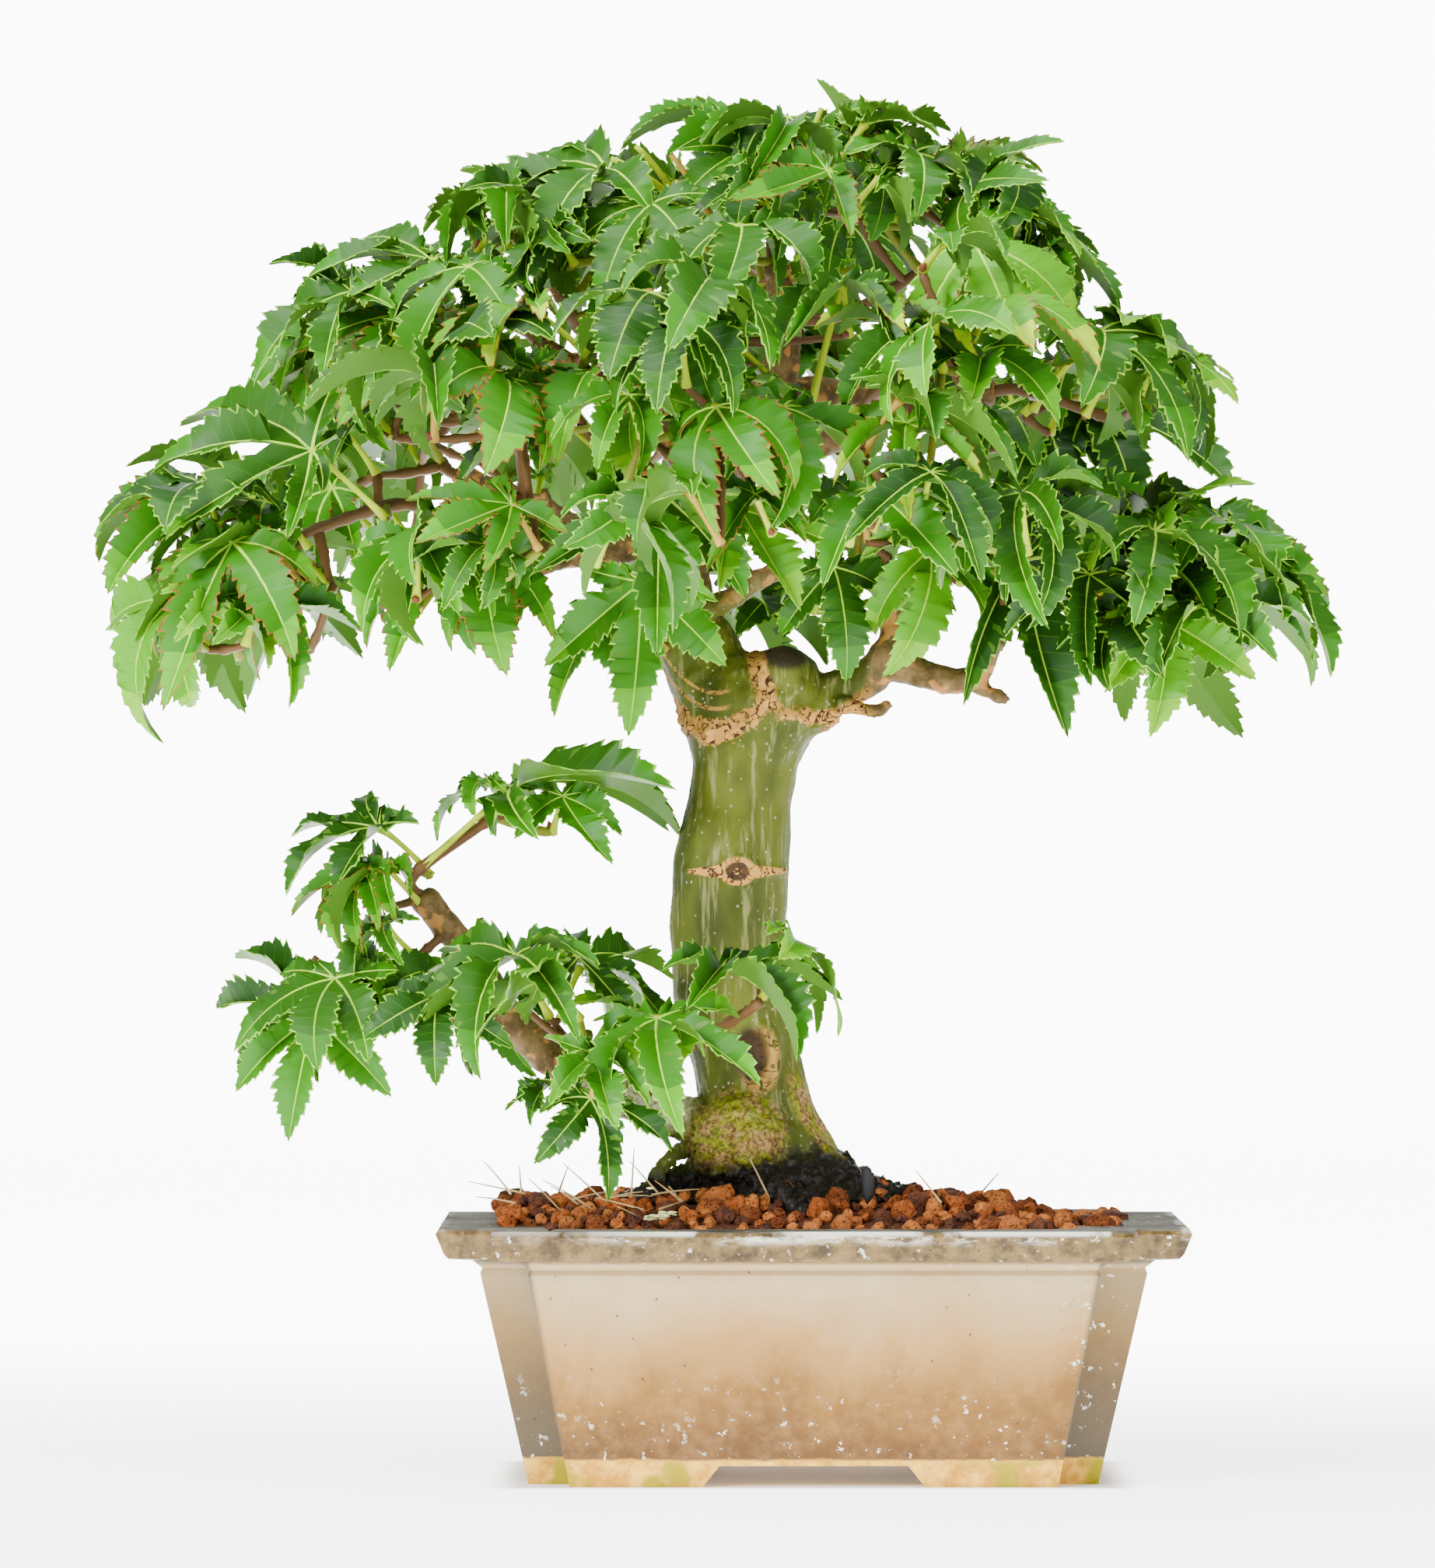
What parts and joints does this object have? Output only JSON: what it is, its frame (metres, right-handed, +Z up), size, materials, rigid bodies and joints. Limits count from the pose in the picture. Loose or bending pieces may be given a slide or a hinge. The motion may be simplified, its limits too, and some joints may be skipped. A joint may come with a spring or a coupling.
{
  "type": "bonsai tree",
  "caption": "Small bonsai Japanese maple with layered masses of toothed green leaves, in a rectangular glazed tray with notched corners and feet.",
  "frame": {"origin": "middle of the box around the whole plant, on the surface that the tray's feet stand on", "axes": "+Z up, +Y to the back; the tray's long side runs along X"},
  "size_m": [0.232, 0.187, 0.2619],
  "materials": {
    "glazed_clay": "semi-gloss mottled grey-tan ash glaze",
    "granular_soil": "matte fired clay granules",
    "trunk_bark": "smooth olive-green bark with pale streaks",
    "limb_bark": "brown bark with ring scars",
    "foliage": "satin green leaf"
  },
  "bodies": {
    "root": {"pot": "glazed_clay", "soil": "granular_soil", "trunk": "trunk_bark", "back_left_limb": "limb_bark", "back_limb": "limb_bark", "back_right_limb": "limb_bark", "front_limb": "limb_bark", "leader": "limb_bark", "left_limb": "limb_bark", "low_limb": "limb_bark", "low_right_fork": "limb_bark", "low_right_limb": "limb_bark", "low_side_limb": "limb_bark", "old_stub": "limb_bark", "right_limb": "limb_bark", "upper_left_limb": "limb_bark", "back_leaves": "foliage", "back_left_leaves": "foliage", "back_right_leaves": "foliage", "back_top_leaves": "foliage", "front_leaves": "foliage", "front_right_leaves": "foliage", "left_front_leaves": "foliage", "left_leaves": "foliage", "low_back_leaves": "foliage", "low_crest_leaves": "foliage", "low_front_leaves": "foliage", "low_left_leaves": "foliage", "low_right_leaves": "foliage", "low_right_side_leaves": "foliage", "right_leaves": "foliage", "top_leaves": "foliage", "top_left_leaves": "foliage", "top_right_leaves": "foliage", "upper_left_leaves": "foliage", "upper_right_leaves": "foliage"}
  },
  "joints": []
}
